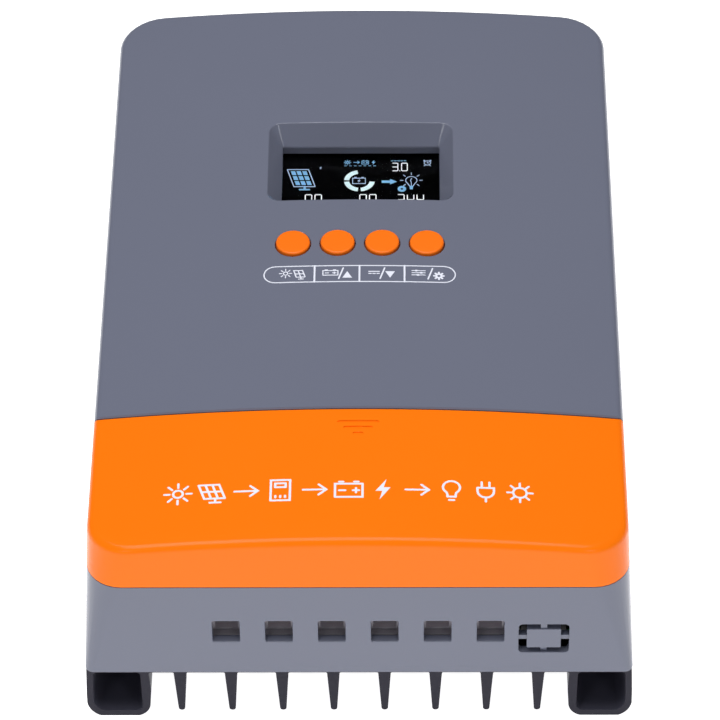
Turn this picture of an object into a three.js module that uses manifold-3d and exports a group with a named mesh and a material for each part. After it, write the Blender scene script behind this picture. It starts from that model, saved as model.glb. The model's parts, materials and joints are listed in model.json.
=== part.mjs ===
// A wall-mounted solar charge controller: a finned aluminium heatsink with two hollow mounting
// rails, a plastic housing over it, a terminal cover that slides off, four push buttons, and the
// circuit boards, power parts and cage-clamp terminals inside.
// Millimetres. +Z is the direction the display faces, +Y runs from the cable end to the far end.
// The origin is under the middle of the part, on the plane of the mounting rails' backs.

import * as THREE from "three";
import { mergeVertices } from "three/addons/utils/BufferGeometryUtils.js";
import Module from "manifold-3d";

const wasm = await Module();
wasm.setup();

// ---------------------------------------------------------------- driving dimensions
const GAP = 0.3; // clearance between pieces that touch

// housing outline: a rectangle that narrows upwards while its corners grow rounder
const BASE_HALF_X = 95.4;
const BASE_HALF_Y = 141.2;
const Z_SKIRT = 26; // bottom edge of the housing
const Z_FACE = 84.5; // where the front face meets the side walls
const CROWN = 5.5; // how far the face rises along its middle
const CROWN_HALF = 92.4; // from the middle to where the rise ends
const DRAFT = 0.0513; // inward slope of the walls, mm per mm
const CORNER_BASE = 3;
const CORNER_FACE = 16;
const WALL = 3;
const CORNER_STEPS = 5;
const Z_OVER = 96; // above everything in the housing

// terminal bay and its cover
const Z_COVER = 68; // bottom edge of the terminal cover
const Y_SEAM = -74.7; // where the cover meets the fixed face
const COVER_WALL = 2.4;
const SEAM_GAP = 0.4;
const DECK_BOTTOM = 63.4;
const DECK_TOP = 66;
const LIP_TOP = 70.5;
const PARTITION = 2.6;
const TAB_X = 50;
const TAB_HALF = 6;

// display recess and buttons
const RECESS_Y = 51.8;
const RECESS_MOUTH = [34.2, 20.95, 4]; // half width, half height, corner radius at the face
const RECESS_FLOOR = [29.1, 15.8, 1.2];
const Z_RECESS_STRAIGHT = 82;
const Z_RECESS_FLOOR = 78.8;
const RECESS_SKIN = 2.2;
const BUTTON_Y = 7.8;
const BUTTON_PITCH = 16.15;
const BUTTON_R = 6.2;
const BUTTON_PROUD = 1.1;
const BUTTON_NAMES = ["button_panel", "button_up", "button_down", "button_set"];
const Z_FLANGE_SEAT = 86.6;

// heatsink
const SINK_HALF_Y = 138.8; // fins, rails and shoulder
const PLATE_HALF_Y = 137.3; // the raised middle, which fits inside the housing
const PLATE_BOTTOM = 23.2;
const PLATE_TOP = 29.2;
const PLATE_HALF_X = 91.3;
const SHOULDER_HALF_X = 95.1;
const FIN_PITCH = 17.85;
const FIN_COUNT = 8;
const FIN_TIP_Z = 3;
const FIN_ROOT_HALF = 2.2;
const FIN_TIP_HALF = 1.15;
const RAIL_INNER_X = 73.5;
const KEYHOLE_X = 84.4;
const KEYHOLE_Y = 110;

// boards and terminals
const PCB_BOTTOM = 38;
const PCB_TOP = 39.6;
const PANEL_PCB_TOP = 67.7;
const BOSS_X = 68.5;
const BOSS_Y = 110;
const POLES = 6;
const POLE_PITCH = 18.25;
const SLOT_HALF = 4.7;
const SLOT_Z = [41.5, 51.5];
const BLOCK_FRONT = -135.6;
const BLOCK_BACK = -113.6;
const BLOCK_TOP = 71;
const BLOCK_OVERHANG = 10.1; // from the outer poles' middles to the block's ends
const SILL = { front: -137, top: 41.4 }; // a low step that closes the gap to the housing wall
const SCREW_Y = -128.1;
const PORT_X = 64;
const PORT_Z = 43;
const BREAKOUT = { gapX: 8.75, gapZ: 7, plateX: 5.85, plateZ: 4.4, web: 1.1 };

// ---------------------------------------------------------------- materials
const paint = (color, roughness, metalness = 0) =>
  new THREE.MeshStandardMaterial({ color, roughness, metalness });
const GREY_PLASTIC = paint(0x70747f, 0.55);
const ORANGE_PLASTIC = paint(0xff7a14, 0.45);
const BLACK_ANODISED = paint(0x26262e, 0.5, 0.7);
const BLACK_PLASTIC = paint(0x1a1a1c, 0.5);
const GREEN_BOARD = paint(0x14502c, 0.5);
const CLEAR = paint(0xdfe6ea, 0.1);
const LCD_BLACK = paint(0x050608, 0.2);
const WHITE_PLASTIC = paint(0xd8d8d2, 0.5);
const STEEL = paint(0xa9adb2, 0.35, 1);
const BRASS = paint(0xb08d4c, 0.35, 1);
const COPPER = paint(0xb06a3c, 0.4, 1);
const FERRITE = paint(0x3a3a36, 0.7);
const GREY_PAD = paint(0x9aa3ad, 0.8);

// ---------------------------------------------------------------- solids
function toSolid(geometry) {
  const bare = geometry.index ? geometry.toNonIndexed() : geometry.clone();
  bare.deleteAttribute("normal");
  bare.deleteAttribute("uv");
  const merged = mergeVertices(bare, 1e-4);
  return new wasm.Manifold(
    new wasm.Mesh({
      numProp: 3,
      vertProperties: merged.attributes.position.array,
      triVerts: new Uint32Array(merged.index.array),
    }),
  );
}

function toGeometry(solid) {
  const mesh = solid.getMesh();
  const geometry = new THREE.BufferGeometry();
  const positions = new Float32Array(mesh.vertProperties);
  geometry.setAttribute("position", new THREE.BufferAttribute(positions, 3));
  geometry.setIndex(new THREE.BufferAttribute(new Uint32Array(mesh.triVerts), 1));
  const flat = geometry.toNonIndexed();
  flat.computeVertexNormals();
  return flat;
}

const join = (first, ...rest) => rest.reduce((sum, part) => sum.add(part), first);
const cut = (first, ...rest) => rest.reduce((left, part) => left.subtract(part), first);

function box([x0, x1], [y0, y1], [z0, z1]) {
  const geometry = new THREE.BoxGeometry(x1 - x0, y1 - y0, z1 - z0);
  geometry.translate((x0 + x1) / 2, (y0 + y1) / 2, (z0 + z1) / 2);
  return toSolid(geometry);
}

// A solid of revolution about a vertical axis at (x, y), from [radius, z] points up its outside.
function turned(profile, x, y, sides = 16) {
  const geometry = new THREE.LatheGeometry(
    profile.map(([r, z]) => new THREE.Vector2(r, z)),
    sides,
  );
  geometry.rotateX(Math.PI / 2);
  geometry.translate(x, y, 0);
  return toSolid(geometry);
}

const rod = (radius, x, y, [z0, z1], sides = 16) =>
  turned(
    [
      [0, z0],
      [radius, z0],
      [radius, z1],
      [0, z1],
    ],
    x,
    y,
    sides,
  );

const shapeOf = (points) => new THREE.Shape(points.map(([u, v]) => new THREE.Vector2(u, v)));

// A section drawn in X and Z, run along Y.
function alongY(shape, [y0, y1]) {
  const geometry = new THREE.ExtrudeGeometry(shape, { depth: y1 - y0, bevelEnabled: false });
  geometry.rotateX(Math.PI / 2);
  geometry.translate(0, y1, 0);
  return toSolid(geometry);
}

// A section drawn in Y and Z, run along X.
function alongX(shape, [x0, x1]) {
  const geometry = new THREE.ExtrudeGeometry(shape, { depth: x1 - x0, bevelEnabled: false });
  const axes = [new THREE.Vector3(0, 1, 0), new THREE.Vector3(0, 0, 1), new THREE.Vector3(1, 0, 0)];
  geometry.applyMatrix4(new THREE.Matrix4().makeBasis(...axes));
  geometry.translate(x0, 0, 0);
  return toSolid(geometry);
}

function roundedRing(halfX, halfY, radius, [cx, cy] = [0, 0]) {
  const ring = [];
  const corners = [
    [1, -1, -Math.PI / 2],
    [1, 1, 0],
    [-1, 1, Math.PI / 2],
    [-1, -1, Math.PI],
  ];
  for (const [sx, sy, start] of corners)
    for (let i = 0; i <= CORNER_STEPS; i++) {
      const angle = start + ((Math.PI / 2) * i) / CORNER_STEPS;
      const x = cx + sx * (halfX - radius) + radius * Math.cos(angle);
      const y = cy + sy * (halfY - radius) + radius * Math.sin(angle);
      ring.push([x, y]);
    }
  return ring;
}

// A closed solid through convex rings of equal length, stacked as [z, ring].
function loft(levels) {
  const count = levels[0][1].length;
  const positions = levels.flatMap(([z, ring]) => ring.flatMap(([x, y]) => [x, y, z]));
  const faces = [];
  const top = (levels.length - 1) * count;
  for (let k = 0; k < levels.length - 1; k++)
    for (let i = 0; i < count; i++) {
      const a = k * count + i;
      const b = k * count + ((i + 1) % count);
      faces.push(a, b, b + count, a, b + count, a + count);
    }
  for (let i = 1; i < count - 1; i++) {
    faces.push(0, i + 1, i);
    faces.push(top, top + i, top + i + 1);
  }
  const geometry = new THREE.BufferGeometry();
  geometry.setAttribute("position", new THREE.Float32BufferAttribute(positions, 3));
  geometry.setIndex(faces);
  return toSolid(geometry);
}

// ---------------------------------------------------------------- the housing's outer form
const crownAt = (x) => Z_FACE + CROWN * (1 - (x / CROWN_HALF) ** 2);

function outlineRing(z, inset) {
  const rise = z - Z_SKIRT;
  const growth = (CORNER_FACE - CORNER_BASE) / (Z_FACE - Z_SKIRT);
  const radius = Math.max(0.6, CORNER_BASE + growth * rise - inset);
  const side = DRAFT * rise + inset;
  return roundedRing(BASE_HALF_X - side, BASE_HALF_Y - side, radius);
}

function underCrown(drop) {
  const steps = 24;
  const reach = BASE_HALF_X + 5;
  const points = [
    [-reach, 0],
    [reach, 0],
  ];
  for (let i = 0; i <= steps; i++) {
    const x = reach - (2 * reach * i) / steps;
    points.push([x, crownAt(x) - drop]);
  }
  return alongY(shapeOf(points), [-BASE_HALF_Y - 5, BASE_HALF_Y + 5]);
}

function form(inset, z0 = Z_SKIRT) {
  const walls = loft([
    [z0, outlineRing(z0, inset)],
    [Z_OVER, outlineRing(Z_OVER, inset)],
  ]);
  return walls.intersect(underCrown(inset));
}

const buttonX = (i) => (i - 1.5) * BUTTON_PITCH;
const poleX = (i) => (i - (POLES - 1) / 2) * POLE_PITCH;
const mirrored = (x, y) => [
  [-x, -y],
  [x, -y],
  [-x, y],
  [x, y],
];
const FOUR_BOSSES = mirrored(BOSS_X, BOSS_Y);

// ---------------------------------------------------------------- housing
function recess(extra) {
  const grow = ([halfX, halfY, r]) => roundedRing(halfX + extra, halfY + extra, r + extra, [0, RECESS_Y]);
  const slope = (RECESS_MOUTH[0] - RECESS_FLOOR[0]) / (Z_FACE + CROWN - Z_RECESS_STRAIGHT);
  const flare = slope * (Z_OVER - Z_FACE - CROWN);
  const over = [RECESS_MOUTH[0] + flare, RECESS_MOUTH[1] + flare, RECESS_MOUTH[2] + flare];
  const bottom = extra ? Z_RECESS_FLOOR : Z_RECESS_FLOOR - 2;
  return loft([
    [bottom, grow(RECESS_FLOOR)],
    [Z_RECESS_STRAIGHT, grow(RECESS_FLOOR)],
    [Z_OVER, grow(over)],
  ]);
}

function cableEntries() {
  const wall = [-BASE_HALF_Y - 1, -BASE_HALF_Y + 6];
  const slots = [];
  for (let i = 0; i < POLES; i++)
    slots.push(box([poleX(i) - SLOT_HALF, poleX(i) + SLOT_HALF], wall, SLOT_Z));
  return join(...slots);
}

// The data port's breakout: a plate held in its opening by four thin webs.
function breakoutGap() {
  const wall = [-BASE_HALF_Y - 1, -BASE_HALF_Y + 6];
  const inner = [-BASE_HALF_Y + 1.9, -BASE_HALF_Y + 7];
  const about = (middle, half) => [middle - half, middle + half];
  const { gapX, gapZ, plateX, plateZ, web } = BREAKOUT;
  const opening = box(about(PORT_X, gapX), wall, about(PORT_Z, gapZ));
  const plate = box(about(PORT_X, plateX), wall, about(PORT_Z, plateZ));
  const upright = box(about(PORT_X, web), inner, about(PORT_Z, gapZ + 1));
  const level = box(about(PORT_X, gapX + 1), inner, about(PORT_Z, web));
  return cut(opening, plate, upright, level);
}

function terminalBay(outer) {
  const across = [-BASE_HALF_X, BASE_HALF_X];
  const bay = [-BASE_HALF_Y, Y_SEAM + PARTITION];
  const deck = box(across, bay, [DECK_BOTTOM, DECK_TOP]);
  const partition = box(across, [Y_SEAM, Y_SEAM + PARTITION], [PCB_TOP + 0.6, Z_OVER]);
  const lipOutside = COVER_WALL + 0.5;
  const ring = cut(form(lipOutside, DECK_BOTTOM), form(lipOutside + 1.4, DECK_BOTTOM - 1));
  const lip = ring.intersect(box(across, bay, [DECK_BOTTOM, LIP_TOP]));
  const blockReach = poleX(POLES - 1) + 12.5;
  const lipGap = box([-blockReach, blockReach], [-BASE_HALF_Y, BLOCK_FRONT + 4], [DECK_TOP, Z_OVER]);
  const inside = join(deck, partition).intersect(outer);
  const tabSlots = [-TAB_X, TAB_X].map((x) =>
    box([x - TAB_HALF - 1, x + TAB_HALF + 1], [Y_SEAM - 1, Y_SEAM + 5], [82.2, 85]),
  );
  return cut(join(inside, cut(lip, lipGap)), ...tabSlots);
}

function housingShell() {
  const outer = form(0);
  const shell = cut(outer, form(WALL, Z_SKIRT - 1));
  const away = box([-120, 120], [-160, Y_SEAM], [Z_COVER, Z_OVER + 4]);
  const collar = box([-32.8, 32.8], [BUTTON_Y - 8.8, BUTTON_Y + 8.8], [83.5, Z_OVER]);
  const posts = [];
  for (const [x, y] of FOUR_BOSSES)
    posts.push(rod(4, x, y, [PLATE_TOP + GAP, y < 0 ? DECK_TOP : Z_OVER], 12));
  for (const [x, y] of [
    [-39.5, 1],
    [39.5, 1],
    [-39.5, 73.5],
    [39.5, 73.5],
  ])
    posts.push(rod(2.8, x, y, [PANEL_PCB_TOP + GAP, Z_OVER], 10));
  const added = join(collar, recess(RECESS_SKIN), ...posts).intersect(outer);
  const bores = FOUR_BOSSES.map(([x, y]) => rod(1.8, x, y, [20, 38], 12));
  for (let i = 0; i < 4; i++) {
    bores.push(rod(6.5, buttonX(i), BUTTON_Y, [80, Z_OVER], 24));
    bores.push(rod(7.7, buttonX(i), BUTTON_Y, [80, Z_FLANGE_SEAT], 24));
  }
  const reach = poleX(POLES - 1) + 11;
  const blockOpening = box([-reach, reach], [BLOCK_FRONT - 0.4, BLOCK_BACK + 0.6], [60, 75]);
  const body = join(cut(join(shell, added), away), terminalBay(outer));
  return cut(body, recess(0), cableEntries(), breakoutGap(), blockOpening, ...bores);
}

function terminalCover() {
  const region = box([-120, 120], [-160, Y_SEAM - SEAM_GAP], [Z_COVER + GAP, Z_OVER + 4]);
  const outer = form(0);
  const skin = cut(outer, form(COVER_WALL, Z_SKIRT - 1)).intersect(region);
  const tabs = [-TAB_X, TAB_X].flatMap((x) => [
    box([x - TAB_HALF, x + TAB_HALF], [Y_SEAM - 4.3, Y_SEAM + 5.2], [82.8, 84.4]),
    box([x - TAB_HALF, x + TAB_HALF], [Y_SEAM - 4.3, Y_SEAM - 0.9], [84, 87.5]).intersect(outer),
  ]);
  return join(skin, ...tabs);
}

function pushButton(i) {
  const top = crownAt(buttonX(i)) + BUTTON_PROUD;
  const profile = [
    [0, 81],
    [2.6, 81],
    [2.6, 84.6],
    [7.3, 84.6],
    [7.3, Z_FLANGE_SEAT - 0.4],
    [BUTTON_R, Z_FLANGE_SEAT - 0.4],
    [BUTTON_R, top - 0.6],
    [BUTTON_R - 0.6, top],
    [0, top],
  ];
  return turned(profile, buttonX(i), BUTTON_Y, 20);
}

// ---------------------------------------------------------------- heatsink
function finSection(x) {
  const waist = FIN_TIP_Z + FIN_TIP_HALF;
  const points = [
    [x - FIN_ROOT_HALF, PLATE_BOTTOM + 1],
    [x - FIN_ROOT_HALF, PLATE_BOTTOM],
    [x - FIN_TIP_HALF, waist],
  ];
  for (let i = 1; i < 4; i++) {
    const angle = Math.PI + (Math.PI * i) / 4;
    points.push([x + FIN_TIP_HALF * Math.cos(angle), waist + FIN_TIP_HALF * Math.sin(angle)]);
  }
  points.push([x + FIN_TIP_HALF, waist]);
  points.push([x + FIN_ROOT_HALF, PLATE_BOTTOM]);
  points.push([x + FIN_ROOT_HALF, PLATE_BOTTOM + 1]);
  return shapeOf(points);
}

// One hollow mounting rail, drawn for the right-hand side: a rounded channel under the plate.
function railSection() {
  const outside = new THREE.Shape();
  outside.moveTo(RAIL_INNER_X, PLATE_BOTTOM + 1);
  outside.lineTo(RAIL_INNER_X - 0.5, 14);
  outside.lineTo(RAIL_INNER_X, 5.4);
  outside.quadraticCurveTo(RAIL_INNER_X + 0.7, 1.3, RAIL_INNER_X + 4.1, 0);
  outside.lineTo(91.2, 0);
  outside.quadraticCurveTo(95, 1.9, 95.7, 6.8);
  outside.lineTo(95.6, 13);
  outside.lineTo(SHOULDER_HALF_X, PLATE_BOTTOM + 1);
  const hollow = new THREE.Path();
  hollow.moveTo(76.4, PLATE_BOTTOM);
  hollow.lineTo(92.9, PLATE_BOTTOM);
  hollow.lineTo(93.4, 13);
  hollow.lineTo(93.4, 7.4);
  hollow.quadraticCurveTo(92.9, 4, 90, 2.8);
  hollow.lineTo(78.4, 2.8);
  hollow.quadraticCurveTo(76.5, 3.2, 76.2, 5.2);
  outside.holes.push(hollow);
  return outside;
}

function keyhole(x, y) {
  const slot = box([x - 2.6, x + 2.6], [y, y + 12], [-1, 4]);
  return join(rod(4.6, x, y, [-1, 4], 16), slot, rod(2.6, x, y + 12, [-1, 4], 12));
}

function heatsink() {
  const span = [-SINK_HALF_Y, SINK_HALF_Y];
  const plateY = [-PLATE_HALF_Y, PLATE_HALF_Y];
  const plate = box([-PLATE_HALF_X, PLATE_HALF_X], plateY, [PLATE_BOTTOM, PLATE_TOP]);
  const shoulderX = [-SHOULDER_HALF_X, SHOULDER_HALF_X];
  const shoulder = box(shoulderX, span, [PLATE_BOTTOM, Z_SKIRT - GAP]);
  const rail = alongY(railSection(), span);
  const fins = [];
  for (let i = 0; i < FIN_COUNT; i++)
    fins.push(alongY(finSection((i - (FIN_COUNT - 1) / 2) * FIN_PITCH), span));
  const body = join(plate, shoulder, rail, rail.mirror([1, 0, 0]), ...fins);
  const holes = FOUR_BOSSES.map(([x, y]) => rod(1.9, x, y, [20, 32], 12));
  const keyholes = mirrored(KEYHOLE_X, KEYHOLE_Y).map(([x, y]) => keyhole(x, y - 6));
  return cut(body, ...holes, ...keyholes);
}

function housingScrew(x, y) {
  const profile = [
    [0, 20.4],
    [2.2, 20.4],
    [2.8, 21.2],
    [2.8, PLATE_BOTTOM - GAP],
    [1.5, PLATE_BOTTOM - GAP],
    [1.5, 36],
    [0, 37.2],
  ];
  return turned(profile, x, y, 12);
}

// ---------------------------------------------------------------- terminals
const CAGE = { half: 5.6, inner: 4, bottom: 40.2, floor: 41.8, ceiling: 55.6, top: 58 };
const BAR_Z = [50.6, 52.6];

function terminalBlock() {
  const reach = poleX(POLES - 1) + BLOCK_OVERHANG;
  const block = box([-reach, reach], [BLOCK_FRONT, BLOCK_BACK], [PCB_TOP + GAP, BLOCK_TOP]);
  const sill = box([-reach, reach], [SILL.front, BLOCK_FRONT + 0.5], [PCB_TOP + GAP, SILL.top]);
  const hollows = [];
  for (let i = 0; i < POLES; i++) {
    const x = poleX(i);
    hollows.push(box([x - 6.4, x + 6.4], [BLOCK_FRONT + 1, -119.4], [38, 64.6]));
    hollows.push(box([x - 5.2, x + 5.2], [BLOCK_FRONT - 1, BLOCK_FRONT + 2], [SILL.top, 51.8]));
    hollows.push(box([x - 3.9, x + 3.9], [-121, -110], [BAR_Z[0] - 0.4, BAR_Z[1] + 0.4]));
    hollows.push(rod(4.4, x, SCREW_Y, [60, BLOCK_TOP + 2], 16));
  }
  return cut(join(block, sill), ...hollows);
}

function clampCage(i) {
  const x = poleX(i);
  const depth = [SCREW_Y - 6, SCREW_Y + 6];
  const outside = box([x - CAGE.half, x + CAGE.half], depth, [CAGE.bottom, CAGE.top]);
  const window = box([x - CAGE.inner, x + CAGE.inner], [-140, -110], [CAGE.floor, CAGE.ceiling]);
  return cut(outside, window, rod(2.9, x, SCREW_Y, [50, 62], 12));
}

function contactBar(i) {
  const x = [poleX(i) - 3.5, poleX(i) + 3.5];
  const level = box(x, [-133.4, -110.8], BAR_Z);
  return join(level, box(x, [-112.8, -110.8], [PCB_TOP + GAP, BAR_Z[1]]));
}

function terminalScrew(i) {
  const x = poleX(i);
  const profile = [
    [0, BAR_Z[1] + GAP],
    [2, BAR_Z[1] + GAP],
    [2.5, BAR_Z[1] + 0.9],
    [2.5, 66.2],
    [4, 66.2],
    [4, 69.2],
    [3.4, 69.9],
    [0, 69.9],
  ];
  const screw = turned(profile, x, SCREW_Y, 16);
  const recessZ = [68.2, 71];
  return cut(
    screw,
    box([x - 2.4, x + 2.4], [SCREW_Y - 0.55, SCREW_Y + 0.55], recessZ),
    box([x - 0.55, x + 0.55], [SCREW_Y - 2.4, SCREW_Y + 2.4], recessZ),
  );
}

// ---------------------------------------------------------------- boards and what they carry
function mainBoard() {
  const board = box([-86, 86], [-133, 132], [PCB_BOTTOM, PCB_TOP]);
  return cut(board, ...FOUR_BOSSES.map(([x, y]) => rod(4.6, x, y, [30, 45], 12)));
}

function dataPort() {
  const body = box([PORT_X - 7.8, PORT_X + 7.8], [-135.4, -118], [PCB_TOP + GAP, 53]);
  const socket = box([PORT_X - 5.8, PORT_X + 5.8], [-140, -123], [42.4, 50.6]);
  return cut(body, socket);
}

function toroid(x, y) {
  const profile = [
    [11, 39.9],
    [19, 39.9],
    [21.5, 42.4],
    [21.5, 57.4],
    [19, 59.9],
    [11, 59.9],
    [9, 57.9],
    [9, 41.9],
    [11, 39.9],
  ];
  return turned(profile, x, y, 20);
}

function capacitor(x, y) {
  const profile = [
    [0, 39.9],
    [9, 39.9],
    [9, 62],
    [8, 62.8],
    [0, 62.8],
  ];
  return turned(profile, x, y, 16);
}

function mosfet(x) {
  const body = box([x - 7.8, x + 7.8], [70, 90], [30.4, 35.4]);
  const legs = [-5.4, 0, 5.4].flatMap((dx) => [
    box([x + dx - 0.6, x + dx + 0.6], [66.6, 71], [32, 33]),
    box([x + dx - 0.6, x + dx + 0.6], [66.6, 67.6], [32, 37.7]),
  ]);
  return join(body, ...legs);
}

function tactSwitch(i) {
  const x = buttonX(i);
  const body = box([x - 3, x + 3], [BUTTON_Y - 3, BUTTON_Y + 3], [PANEL_PCB_TOP + GAP, 71.5]);
  return cut(body, rod(2.1, x, BUTTON_Y, [69, 75], 12));
}

// A flat cable that rises from the main board and folds over to the underside of the front board.
function ribbonCable() {
  const route = new THREE.CatmullRomCurve3([
    new THREE.Vector3(88, 39.9, 0),
    new THREE.Vector3(88.6, 50, 0),
    new THREE.Vector3(86, 58, 0),
    new THREE.Vector3(78, 60.5, 0),
    new THREE.Vector3(72, 61.5, 0),
    new THREE.Vector3(70.6, 65.8, 0),
  ]);
  const steps = 14;
  const half = 0.6;
  const near = [];
  const far = [];
  for (let k = 0; k <= steps; k++) {
    const p = route.getPointAt(k / steps);
    const t = route.getTangentAt(k / steps);
    near.push([p.x + t.y * half, p.y - t.x * half]);
    far.unshift([p.x - t.y * half, p.y + t.x * half]);
  }
  const levelEnds = box([-20, 20], [60, 95], [PCB_TOP + GAP, 65.8]);
  return alongX(shapeOf([...near, ...far]), [-10, 10]).intersect(levelEnds);
}

// ---------------------------------------------------------------- assembly
const controller = new THREE.Group();
controller.name = "charge_controller";

function add(name, solid, material) {
  const mesh = new THREE.Mesh(toGeometry(solid), material);
  mesh.name = name;
  controller.add(mesh);
}

add("heatsink", heatsink(), BLACK_ANODISED);
add("housing_shell", housingShell(), GREY_PLASTIC);
add("terminal_cover", terminalCover(), ORANGE_PLASTIC);
BUTTON_NAMES.forEach((name, i) => {
  const x = buttonX(i);
  add(name, pushButton(i), ORANGE_PLASTIC);
  add(`tact_plunger_${i + 1}`, rod(1.8, x, BUTTON_Y, [69.9, 80.7], 12), WHITE_PLASTIC);
  add(`tact_switch_${i + 1}`, tactSwitch(i), BLACK_PLASTIC);
});

const recessSpan = (dx, dy) => [
  [-dx, dx],
  [RECESS_Y - dy, RECESS_Y + dy],
];
add("display_window", box(...recessSpan(31.2, 17.9), [77.7, 78.5]), CLEAR);
add("lcd_panel", box(...recessSpan(32, 19.5), [74.5, 77.4]), LCD_BLACK);
add("lcd_backlight", box(...recessSpan(33, 20.5), [PANEL_PCB_TOP + GAP, 74.2]), WHITE_PLASTIC);
add("front_board", box([-43, 43], [-3.5, 77.5], [66.1, PANEL_PCB_TOP]), GREEN_BOARD);
add("ribbon_cable", ribbonCable(), GREY_PAD);

add("main_board", mainBoard(), GREEN_BOARD);
add("terminal_block", terminalBlock(), BLACK_PLASTIC);
for (let i = 0; i < POLES; i++) {
  add(`terminal_screw_${i + 1}`, terminalScrew(i), STEEL);
  add(`clamp_cage_${i + 1}`, clampCage(i), BRASS);
  add(`contact_bar_${i + 1}`, contactBar(i), COPPER);
}
add("data_port", dataPort(), BLACK_PLASTIC);
add("inductor_1", toroid(-30, -40), FERRITE);
add("inductor_2", toroid(30, -40), FERRITE);
[20, 42, 64].forEach((y, i) => add(`capacitor_${i + 1}`, capacitor(-66, y), BLACK_PLASTIC));
[-45, -15, 15, 45].forEach((x, i) => add(`mosfet_${i + 1}`, mosfet(x), BLACK_PLASTIC));
add("mosfet_clamp_bar", box([-66, 66], [75, 85], [35.7, 37.6]), STEEL);
add("insulator_pad", box([-66, 66], [66, 94], [PLATE_TOP + GAP, 30.1]), GREY_PAD);
mirrored(76, 95).forEach(([x, y], i) => {
  const span = [PLATE_TOP + GAP, PCB_BOTTOM - GAP];
  add(`board_standoff_${i + 1}`, rod(3, x, y, span, 6), BRASS);
});
FOUR_BOSSES.forEach(([x, y], i) => add(`housing_screw_${i + 1}`, housingScrew(x, y), STEEL));

export default controller;
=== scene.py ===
"""Looks for a wall-mounted solar charge controller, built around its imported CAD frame.

Shapes are worked out in millimetres in the part's own frame. +Z points out of the face that carries the
display, +Y from the cable end to the far end, and the origin is under the middle of the part. Points become
metres when a mesh is made.
"""

import json
import math

import bpy
from mathutils import Matrix, Vector
from mathutils.geometry import delaunay_2d_cdt


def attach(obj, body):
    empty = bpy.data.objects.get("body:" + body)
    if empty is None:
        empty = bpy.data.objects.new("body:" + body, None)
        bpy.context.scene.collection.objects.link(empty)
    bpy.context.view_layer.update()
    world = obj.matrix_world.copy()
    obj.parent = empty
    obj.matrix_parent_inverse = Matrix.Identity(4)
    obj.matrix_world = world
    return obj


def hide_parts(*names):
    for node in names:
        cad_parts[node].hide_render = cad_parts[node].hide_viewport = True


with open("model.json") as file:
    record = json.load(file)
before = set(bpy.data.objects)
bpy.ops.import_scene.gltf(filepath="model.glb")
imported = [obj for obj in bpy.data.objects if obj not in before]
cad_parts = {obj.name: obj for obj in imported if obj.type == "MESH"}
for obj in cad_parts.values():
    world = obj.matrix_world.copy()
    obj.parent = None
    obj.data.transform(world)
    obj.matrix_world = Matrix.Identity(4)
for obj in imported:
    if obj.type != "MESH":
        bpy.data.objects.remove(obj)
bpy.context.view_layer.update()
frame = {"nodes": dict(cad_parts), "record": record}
nodes = frame["nodes"]
scene = bpy.context.scene

# ---------- dimensions, mm
MM = 0.001

# The housing's outer form: a tapered box under an arched face.
BASE_HALF_X = 95.4
BASE_HALF_Y = 141.2
Z_SKIRT = 26.0
Z_FACE = 84.5
CROWN = 5.5
CROWN_HALF = 92.4
DRAFT = 0.0513
CORNER_BASE = 3.0
CORNER_GROWTH = 0.2222
FOLD = 2.6
INNER_FOLD = 2.0
RIM = 0.5  # rounds the housing's lower edge and the ledge of the recess
WALL = 3.0

# Terminal bay and sliding cover.
COVER_WALL = 2.4
Z_COVER = 68.0
Z_COVER_EDGE = 68.3
Y_SEAM = -74.7
Y_COVER = -75.1
SEAM_VEE = 0.9
BAY_HALF_X = 95.0
BAY_END_Y = -141.0
DECK = (63.4, 66.0)
DECK_OPENING = ((-56.6, 56.6), (-136, -113))
PARTITION_Y = (-76.5, -72.1)
PARTITION_FOOT = 40.2
LIP_TOP = 70.5
LIP_GAP = ((-58.1, 58.1), (-142, -131.6))
TAB_X = 50.0
TAB_HALF = 6.0
TAB_Z = (82.8, 84.4)
GRIP_LINES = ((-81.6, 14.4), (-84.3, 10.1), (-87.1, 3.6))

# Openings in the housing. Half sizes and a corner radius.
MOUTH = 0.45
RECESS_Y = 51.8
RECESS_MOUTH = (34.2, 20.95, 4.6)
RECESS_FLOOR = (29.1, 15.8, 0.5)
RECESS_LEDGE_Z = 82.0
RECESS_BOTTOM_Z = 76.0
RECESS_SKIN = ((31.3, 18, 3.4, 78.8), (31.3, 18, 3.4, 82), (34.6, 21.4, 5, 88))
SLOT_HALF = (4.7, 5.0, 0.7)
SLOT_Z = 46.5
SLOT_DEPTH = 4.5
PORT_X, PORT_Z = 64.0, 43.0
PORT_GAP = (8.75, 7.0, 1.6)
PORT_PLATE = (5.85, 4.4, 0.3)
POLES = 6
POLE_PITCH = 18.25

# Buttons.
BUTTON_Y = 7.8
BUTTON_PITCH = 16.15
BUTTON_R = 6.2
BUTTON_HOLE_R = 6.5
BUTTON_HOLE_DEPTH = 9.0
BUTTON_STEM = (2.6, 81.0)
BUTTON_COLLAR = (7.3, 84.6, 86.2)
BUTTON_PROUD = 1.1
BUTTON_NAMES = ("button_panel", "button_up", "button_down", "button_set")

# Posts for the four screws that hold the heatsink.
POST_X = 68.5
POST_Y = 110.0
POST_R = 4.0
POST_PLACES = [(x, y) for x in (-POST_X, POST_X) for y in (-POST_Y, POST_Y)]

# Heatsink.
SINK_HALF_Y = 138.8
PLATE_HALF_Y = 137.3
PLATE_UNDER = 23.2
PLATE_STEP = 25.7
FIN_PITCH = 17.85
FIN_ROOT = 2.2
FIN_TIP = 1.15
FIN_LOW = 3.0
FIN_FILLET = 0.5
KEYHOLE_X = 84.4
KEYHOLE_Y = (-116, 104)
KEYHOLE_BIG = 4.6
KEYHOLE_SMALL = 2.6
KEYHOLE_REACH = 12.0

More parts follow.
